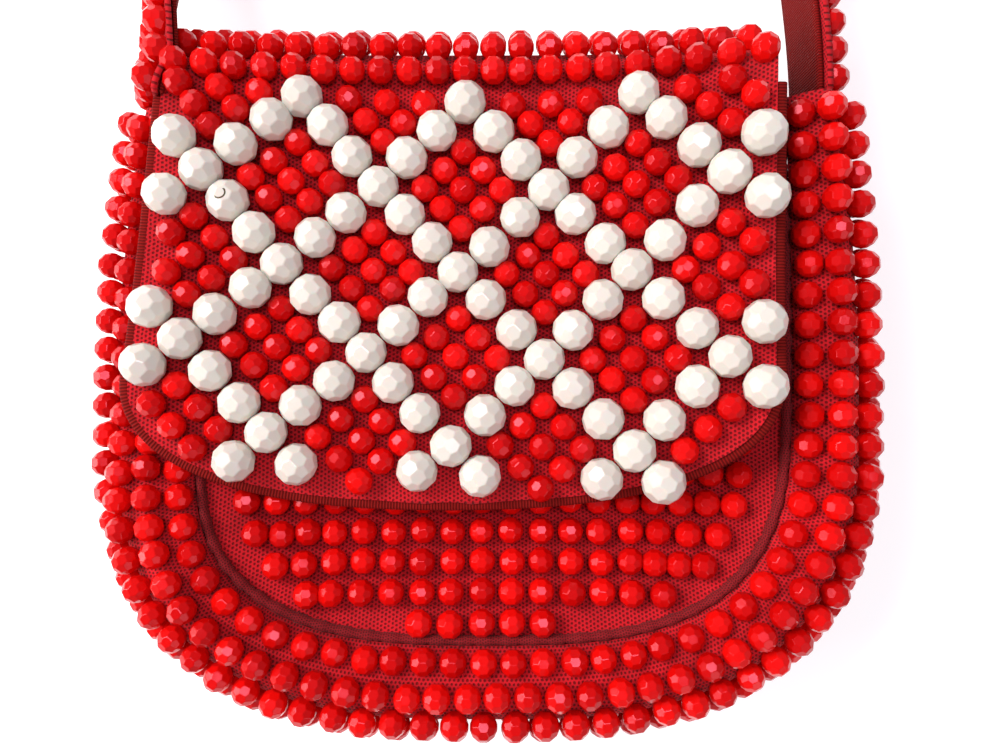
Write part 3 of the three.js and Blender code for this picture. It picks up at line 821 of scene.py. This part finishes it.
def make_back():
    """Flat knitted back over a square field of beads."""
    rows, across = BACK_GRID
    outline = []
    for distance in np.linspace(0, seam_line.length, BACK_OUTLINE_POINTS):
        place, outward, section = rim_station(distance)
        reach = section.points[-1][0] - KNIT - 2 * GAP
        outline.append(place + outward * reach)
    outline = np.array(outline)
    lowest = int(np.argmin(outline[:, 1]))
    right, left = outline[:lowest + 1][::-1], outline[lowest:]
    bottom = outline[lowest, 1]
    rise = np.linspace(0, 1, rows) ** BACK_CROWDING
    ys = bottom + BACK_TIP_ROOM + (SIDE_LENGTH + BACK_OVER - bottom) * rise
    right_x = np.interp(ys, right[:, 1], right[:, 0])
    left_x = np.interp(ys, left[:, 1], left[:, 0])
    shares = np.linspace(0, 1, across)
    x = left_x[:, None] + (right_x - left_x)[:, None] * shares
    y = np.repeat(ys[:, None], len(shares), axis=1)
    grid = np.stack([x, y, np.full_like(x, BACK_FACE)], axis=-1)
    cloth = sheet_object("back_fabric", grid, CLOTH, red_net, arc_coordinates(grid))
    finish_piece(cloth, "red_knit", "back_panel")

    centres = []
    row_y = bottom + BACK_LOWEST_ROW
    while row_y < SIDE_LENGTH + BACK_ROWS_OVER:
        low = np.interp(row_y, left[:, 1], left[:, 0]) + BACK_ROW_ROOM
        high = np.interp(row_y, right[:, 1], right[:, 0]) - BACK_ROW_ROOM
        first = math.ceil((low - MIDDLE_COLUMN) / PANEL_PITCH)
        last = math.floor((high - MIDDLE_COLUMN) / PANEL_PITCH)
        for index in range(first, last + 1):
            centres.append((MIDDLE_COLUMN + PANEL_PITCH * index, row_y, BACK_BEAD_HEIGHT))
        row_y += PANEL_PITCH
    count = len(centres)
    beads = bead_field("back_beads", centres, [(1, 0, 0)] * count, [(0, 0, -1)] * count,
                       RED_BEAD, red_plastic, jitter=BACK_JITTER)
    finish_piece(beads, "red_beads", "back_panel")


def fold_point(turn, x, offset):
    """A point of the fold: turn 0 lies on the back and pi on the front."""
    lift = (turn / math.pi) ** FOLD_LIFT_POWER * flap_lift(x)
    y = FOLD_Y + (FOLD_RADIUS + offset) * np.sin(turn)
    z = FOLD_HEIGHT - (FOLD_RADIUS + offset) * np.cos(turn) + lift
    return np.stack([x, np.full_like(x, y), z], axis=-1)


def make_flap():
    """The flap's cloth, from the back round the fold and down over the front."""
    front_rows, across = FLAP_GRID
    columns = edge_crowded(across)
    fold_x = flap_centre(FOLD_Y) + columns * flap_half_width(FOLD_Y)
    rows = []
    for y in np.linspace(SIDE_LENGTH + GAP, FOLD_Y, FLAP_TUCK_ROWS, endpoint=False):
        rows.append(fold_point(0.0, fold_x, KNIT / 2) + [0, y - FOLD_Y, 0])
    for turn in np.linspace(0, math.pi, FLAP_FOLD_ROWS, endpoint=False):
        rows.append(fold_point(turn, fold_x, KNIT / 2))
    for share in np.linspace(0, 1, front_rows):
        fall = 1 - (1 - share) ** FLAP_CROWDING
        y = np.full_like(columns, FOLD_Y + (FLAP_BOTTOM * NEAR_TIP - FOLD_Y) * fall)
        x = flap_centre(y) + columns * flap_half_width(y)
        rows.append(np.stack([x, y, flap_top(x, y)], axis=-1))
    grid = np.array(rows)
    cloth = sheet_object("flap_fabric", grid, FLAP_CLOTH, red_net, arc_coordinates(grid))
    finish_piece(cloth, "red_knit", "flap")


def lattice_point(column, row, rise):
    """A place of the lattice, raised off the flap's cloth, and the cloth's normal there."""
    across = column / LATTICE_COLUMNS
    down = row / (LATTICE_ROWS / 2) - 1
    drawn = LATTICE_LEFT_DRAW * max(-across, 0) * max(-down, 0) ** 2
    x = LATTICE_X + LATTICE_STEP * column + (LATTICE_LEAN + LATTICE_SPREAD * across) * down + drawn
    level = LATTICE_Y - LATTICE_RISE * (row - LATTICE_ROWS / 2)
    y = level + (LATTICE_TILT + LATTICE_FAN * down) * across + LATTICE_BOW * across ** 2
    normal = surface_normal(flap_top, np.float64(x), np.float64(y))
    return np.array([x, y, float(flap_top(x, y))]) + normal * rise, normal


def on_falling_line(column, row):
    return ((column + row) // 2) % LINE_SPACING == 0


def on_rising_line(column, row):
    return ((column - row) // 2) % LINE_SPACING == 0


def is_white(column, row):
    even = (column + row) % 2 == 0
    return even and (on_falling_line(column, row) or on_rising_line(column, row))


def add_crack(material):
    """A dark curved crack on one bead: part of a ball's outline where it meets the bead's surface."""
    centre, normal = lattice_point(*CRACKED_BEAD, WHITE_RISE)
    middle = (centre + normal * WHITE_BEAD / 2 + ORIGIN) * MM
    nodes, links = material.node_tree.nodes, material.node_tree.links
    shader = nodes["Principled BSDF"]
    coordinates = nodes.new("ShaderNodeTexCoord")

    def distance_from(place):
        distance = nodes.new("ShaderNodeVectorMath")
        distance.operation = "DISTANCE"
        distance.inputs[1].default_value = place
        links.new(coordinates.outputs["Object"], distance.inputs[0])
        return distance.outputs["Value"]

    def within(value, centre_value, half_width):
        inside = nodes.new("ShaderNodeMath")
        inside.operation = "COMPARE"
        inside.inputs[1].default_value = centre_value
        inside.inputs[2].default_value = half_width
        links.new(value, inside.inputs[0])
        return inside.outputs["Value"]

    ball = middle + np.array([*CRACK_OFFSET, 0.0]) * MM
    on_outline = within(distance_from(ball), CRACK_RADIUS * MM, CRACK_WIDTH / 2 * MM)
    near = within(distance_from(middle), 0.0, CRACK_REACH * MM)
    both = nodes.new("ShaderNodeMath")
    both.operation = "MULTIPLY"
    links.new(on_outline, both.inputs[0])
    links.new(near, both.inputs[1])
    stained = nodes.new("ShaderNodeMix")
    stained.data_type = "RGBA"
    stained.inputs["B"].default_value = CRACK_COLOUR
    links.new(both.outputs["Value"], stained.inputs["Factor"])
    links.new(shader.inputs["Base Color"].links[0].from_socket, stained.inputs["A"])
    links.new(stained.outputs["Result"], shader.inputs["Base Color"])


def make_white_beads():
    centres, threads, normals = [], [], []
    for row in range(LATTICE_ROWS + 1):
        for column in range(-LATTICE_COLUMNS, LATTICE_COLUMNS + 1):
            if not is_white(column, row):
                continue
            centre, normal = lattice_point(column, row, WHITE_RISE)
            centres.append(centre)
            normals.append(normal)
            threads.append((1.0, -1.0 if on_rising_line(column, row) else 1.0, 0.0))
    beads = bead_field("white_lattice", centres, threads, normals, WHITE_BEAD, white_plastic,
                       FINE_BEAD, jitter=WHITE_JITTER)
    finish_piece(beads, "white_beads", "white_beads")
    add_crack(white_plastic)


def make_flap_reds():
    """Nine beads to a diamond, fewer where the flap's edge cuts it."""
    step = DIAMOND_PITCH / math.hypot(LATTICE_STEP, LATTICE_RISE)
    centres, threads, normals = [], [], []
    for row, columns, (lowest, highest) in DIAMONDS:
        for column in columns:
            for first in (-1, 0, 1):
                for second in (-1, 0, 1):
                    if not lowest <= first - second <= highest:
                        continue
                    place = (column + (first + second) * step, row - (first - second) * step)
                    centre, normal = lattice_point(*place, RED_RISE)
                    room = flap_half_width(centre[1]) - abs(centre[0] - flap_centre(centre[1]))
                    if room < RED_EDGE_ROOM:
                        continue
                    centres.append(centre)
                    normals.append(normal)
                    threads.append((1.0, 1.0, 0.0))
    beads = bead_field("flap_reds", centres, threads, normals, RED_BEAD, red_plastic, FINE_BEAD)
    finish_piece(beads, "red_beads", "flap")


def make_fold_beads():
    centres, threads, normals = [], [], []
    half = float(flap_half_width(FOLD_Y)) * FOLD_ROW_REACH
    for share in FOLD_ROW_TURNS:
        turn = share * math.pi
        x = flap_centre(FOLD_Y) + np.linspace(-half, half, FOLD_ROW_BEADS)
        places = fold_point(turn, x, KNIT + BEAD_RADIUS - FOLD_ROW_SEAT)
        directions = np.gradient(places, axis=0)
        for place, direction in zip(places, directions):
            centres.append(place)
            threads.append(direction)
            normals.append((0.0, math.sin(turn), -math.cos(turn)))
    beads = bead_field("fold_beads", centres, threads, normals, RED_BEAD, red_plastic, FINE_BEAD)
    finish_piece(beads, "red_beads", "flap")


# Tubes, ridges and ribbons that follow a line
def band_object(name, rings, material, uvs_per_ring):
    """A closed band through rings of points of shape (stations, section, 3)."""
    stations, count = rings.shape[:2]
    faces = []
    for station in range(stations - 1):
        for index in range(count):
            a = station * count + index
            b = station * count + (index + 1) % count
            faces.append((a, b, b + count, a + count))
    faces.append(tuple(range(count))[::-1])
    faces.append(tuple((stations - 1) * count + index for index in range(count)))
    vertices = rings.reshape(-1, 3)
    obj = make_object(name, vertices, faces, [material], uvs_per_ring.reshape(-1, 2), smooth_faces=True)
    mesh = bmesh.new()
    mesh.from_mesh(obj.data)
    bmesh.ops.recalc_face_normals(mesh, faces=mesh.faces)
    mesh.to_mesh(obj.data)
    mesh.free()
    return obj


def ring_uvs(rings):
    """Cloth coordinates of a band: along its length and round its section."""
    along = np.cumsum(np.linalg.norm(np.diff(rings[:, 0], axis=0, prepend=rings[:1, 0]), axis=1))
    around = np.linalg.norm(np.diff(rings, axis=1, prepend=rings[:, :1]), axis=2).cumsum(axis=1)
    return np.stack([np.broadcast_to(along[:, None], around.shape), around], axis=-1)


def make_front_seam():
    rings = []
    for distance in np.linspace(0, seam_line.length, RIDGE_STATIONS):
        place = seam_line.at(distance)
        outward = seam_line.outward(distance)
        up = float(rim_up(RIM_SECTION[0, 1], *place))
        wobble = sum(height * math.sin(distance * rate) for height, rate in RIDGE_WOBBLES)
        ring = []
        for side in range(RIDGE_SIDES):
            angle = 2 * math.pi * side / RIDGE_SIDES
            radius = SEAM_RADIUS + wobble + RIDGE_TWIST * math.sin(distance * RIDGE_TWIST_RATE + side)
            level = up + radius * math.sin(angle) * RIDGE_RISE
            ring.append((*(place + outward * radius * math.cos(angle)), level))
        rings.append(ring)
    rings = np.array(rings)
    ridge = band_object("seam_ridge", rings, seam_knit, ring_uvs(rings))
    finish_piece(ridge, "seam_knit", "front_seam")


def flap_edge_line():
    bend_top = FLAP_BOTTOM + FLAP_CORNER
    side_ys = np.linspace(FOLD_Y - RED_BEAD, bend_top, EDGE_POINTS, endpoint=False)
    right = [(float(flap_half_width(y)), y) for y in side_ys]
    for index in range(CORNER_POINTS):
        angle = math.pi / 2 * index / (CORNER_POINTS - 1)
        x = FLAP_HALF_WIDTH * max(math.cos(angle), 0) ** (2 / FLAP_POWER)
        right.append((x, bend_top - FLAP_CORNER * math.sin(angle) ** (2 / FLAP_POWER)))
    left = [(-x, y) for x, y in right[:-1]][::-1]
    return Line([(x + float(flap_centre(y)), y) for x, y in right + left])


def make_flap_binding():
    line = flap_edge_line()
    rings = []
    for distance in np.linspace(0, line.length, FLAP_RIBBON_STATIONS):
        place = line.at(distance)
        outward = line.outward(distance)
        top = float(flap_top(*place))
        rings.append([(*(place + outward * out), top + up) for out, up in FLAP_RIBBON_SECTION])
    rings = np.array(rings)
    ribbon = band_object("flap_ribbon", rings, dark_ribbon, ring_uvs(rings))
    finish_piece(ribbon, "ribbon", "flap_binding")


def make_mouth_binding():
    rings = []
    angles = 2 * math.pi * np.arange(MOUTH_RIBBON_SIDES) / MOUTH_RIBBON_SIDES
    for column in np.linspace(-1, 1, MOUTH_RIBBON_STATIONS):
        x = float(front_x(np.float64(SIDE_LENGTH), column))
        ys = SIDE_LENGTH - BINDING_WIDTH / 2 + MOUTH_RIBBON_RADIUS * np.cos(angles)
        zs = float(front_height(x, SIDE_LENGTH)) + KNIT / 2 + MOUTH_RIBBON_RADIUS * np.sin(angles)
        rings.append(np.stack([np.full_like(ys, x), ys, zs], axis=1))
    rings = np.array(rings)
    ribbon = band_object("mouth_ribbon", rings, dark_ribbon, ring_uvs(rings))
    finish_piece(ribbon, "ribbon", "mouth_binding")


def strap_station(travel):
    """The strap at a length from its right end: place, outward direction, height and angle of lean."""
    side = (STRAP_LENGTH - math.pi * STRAP_HALF_SPAN) / 2
    turn = min(max((travel - side) / (STRAP_LENGTH - 2 * side), 0), 1) * math.pi
    from_end = min(travel, STRAP_LENGTH - travel)
    outward = np.array([math.cos(turn), math.sin(turn)])
    place = np.array([STRAP_SHIFT, SIDE_LENGTH + 2 * GAP + min(from_end, side)]) + outward * STRAP_HALF_SPAN
    middle = STRAP_ROWS * STRAP_ROW_PITCH / 2
    centre = middle + (STRAP_ROOT - middle) * float(smooth(1 - from_end / STRAP_DESCENT))
    lean = 0.0
    if travel > STRAP_LENGTH / 2:
        rise = STRAP_ROOT_LEAN + (1 - STRAP_ROOT_LEAN) * smooth(from_end / STRAP_LEAN_START)
        lean = float(rise * smooth(1 - from_end / STRAP_DESCENT))
    place = place - outward * STRAP_LEAN_INSET * lean
    angle = math.radians(STRAP_LEAN) * lean
    return place, outward, centre, angle


def strap_point(station, out, up):
    """A point of the strap's section, out from its cloth and up from its middle, turned by its lean."""
    place, outward, centre, angle = station
    turned = out * math.cos(angle) - up * math.sin(angle)
    return (*(place + outward * turned), centre + up * math.cos(angle) + out * math.sin(angle))


def make_strap():
    half_width = STRAP_ROWS * STRAP_ROW_PITCH / 2
    bands = [
        ("strap_fabric", KNIT, 0.0, half_width - STRAP_EDGE_INSET, red_net, "red_knit", "strap_band"),
        ("strap_ribbon", -LINING_GAP, -RIBBON, half_width - LINING_INSET, dark_ribbon,
         "ribbon", "strap_lining"),
    ]
    stations, across = STRAP_GRID
    for name, outer, inner, half, material, slot, node in bands:
        grid = []
        for travel in np.linspace(0, STRAP_LENGTH, stations):
            station = strap_station(travel)
            grid.append([strap_point(station, outer, up) for up in np.linspace(-half, half, across)])
        grid = np.array(grid)
        uvs = arc_coordinates(grid)[..., ::-1]
        cloth = sheet_object(name, grid, abs(outer - inner), material, uvs)
        finish_piece(cloth, slot, node)
    centres, threads, normals = [], [], []
    count = int(STRAP_LENGTH / STRAP_PITCH)
    for index in range(count):
        travel = (index + 0.5) * STRAP_LENGTH / count
        station = strap_station(travel)
        _, outward, _, angle = station
        for row in range(STRAP_ROWS):
            up = (row - (STRAP_ROWS - 1) / 2) * STRAP_ROW_PITCH
            centres.append(strap_point(station, KNIT + BEAD_RADIUS - BEAD_SEAT, up))
            threads.append((-outward[1], outward[0], 0.0))
            normals.append((*(outward * math.cos(angle)), math.sin(angle)))
    beads = bead_field("strap_beads", centres, threads, normals, RED_BEAD, red_plastic, jitter=STRAP_JITTER)
    finish_piece(beads, "red_beads", "strap_band")


# Stage, lights and camera
CAMERA_HEIGHT = 258.0
FOCAL_PIXELS = 740.0
IMAGE_WIDTH = 1008
AXIS_X = 5.0
AXIS_Y = 5.0
SENSOR_WIDTH = 36.0
FLOOR_REACH = 3
BODY_MIDDLE = (0, -0.15, 0)
LEFT_SIDE = (-0.1, -0.15, 0)


def make_stage():
    mesh = bpy.data.meshes.new("floor")
    corners = [(FLOOR_REACH * x, FLOOR_REACH * y, 0) for x, y in ((-1, -1), (1, -1), (1, 1), (-1, 1))]
    mesh.from_pydata(corners, [], [(0, 1, 2, 3)])
    floor = bpy.data.objects.new("floor", mesh)
    bpy.context.collection.objects.link(floor)
    material, nodes, links, shader = new_material("pale_floor")
    shader.inputs["Base Color"].default_value = (0.95, 0.95, 0.95, 1)
    shader.inputs["Roughness"].default_value = 0.9
    shader.inputs["Emission Color"].default_value = (1, 1, 1, 1)
    shader.inputs["Emission Strength"].default_value = 0.35
    mesh.materials.append(material)

    world = bpy.data.worlds.new("soft_sky")
    world.use_nodes = True
    world.node_tree.nodes["Background"].inputs["Color"].default_value = (0.93, 0.95, 1.0, 1)
    world.node_tree.nodes["Background"].inputs["Strength"].default_value = 0.35
    bpy.context.scene.world = world


def add_area_light(name, place, target, size, power, colour):
    data = bpy.data.lights.new(name, "AREA")
    data.shape = "RECTANGLE"
    data.size, data.size_y = size
    data.energy = power
    data.color = colour
    light = bpy.data.objects.new(name, data)
    bpy.context.collection.objects.link(light)
    light.location = place
    light.rotation_mode = "QUATERNION"
    light.rotation_quaternion = (Vector(target) - Vector(place)).to_track_quat("-Z", "Y")


def make_camera():
    data = bpy.data.cameras.new("camera")
    data.sensor_width = SENSOR_WIDTH
    data.lens = FOCAL_PIXELS / IMAGE_WIDTH * SENSOR_WIDTH
    data.clip_start = 0.01
    camera = bpy.data.objects.new("camera", data)
    bpy.context.collection.objects.link(camera)
    place = (np.array([AXIS_X, AXIS_Y, CAMERA_HEIGHT]) + ORIGIN) * MM
    camera.location = place.tolist()
    bpy.context.scene.camera = camera


bpy.context.scene.view_settings.view_transform = "Standard"
make_camera()
make_stage()
add_area_light("window", place=(-0.75, 0.35, 0.85), target=BODY_MIDDLE, size=(0.5, 0.5),
               power=12, colour=(1.0, 0.97, 0.95))
add_area_light("sky", place=(0.1, 0.15, 1.3), target=BODY_MIDDLE, size=(0.4, 0.3),
               power=5.2, colour=(0.88, 0.88, 1.0))
add_area_light("bounce", place=(0.6, -1.0, 0.7), target=BODY_MIDDLE, size=(0.7, 0.5),
               power=2.5, colour=(1.0, 0.95, 0.9))
add_area_light("side", place=(-0.9, -0.2, 0.4), target=LEFT_SIDE, size=(0.5, 0.4),
               power=5, colour=(1.0, 0.96, 0.92))
make_front_panel()
make_gusset()
make_back()
make_flap()
make_white_beads()
make_flap_reds()
make_fold_beads()
make_front_seam()
make_flap_binding()
make_mouth_binding()
make_strap()
